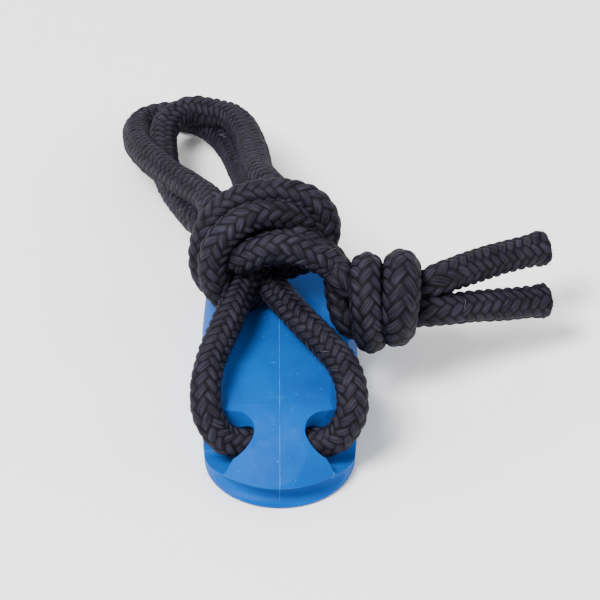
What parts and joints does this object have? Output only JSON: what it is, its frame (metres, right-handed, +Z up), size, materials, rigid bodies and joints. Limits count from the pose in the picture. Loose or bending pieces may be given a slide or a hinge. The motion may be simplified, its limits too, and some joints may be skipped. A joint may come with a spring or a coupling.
{
  "type": "cord lock",
  "caption": "One-piece moulded cord lock with open side notches, threaded on a braided cord that is tied into a doubled loop and a stopper knot.",
  "frame": {"origin": "under the middle of the lock's flat base, on the surface that it lies on", "axes": "+Y along the lock from its grooved nose to its plain tail, +X to the right seen from the nose, +Z up"},
  "size_m": [0.0705, 0.1038, 0.0296],
  "materials": {
    "lock": "satin moulded",
    "cord": "braided"
  },
  "bodies": {
    "lock": {"lock_body": "lock"},
    "cord": {"lock_bight": "cord", "outer_loop": "cord", "inner_loop": "cord", "front_link": "cord", "back_link": "cord", "upper_tail": "cord", "lower_tail": "cord", "loop_knot": "cord", "end_knot": "cord"}
  },
  "joints": [
    {"name": "cord_swing", "type": "hinge", "parent": "lock", "child": "cord", "pos_m": [0, -0.0214, 0.0059], "axis": [1, 0, 0], "range_deg": [0, 50]}
  ]
}
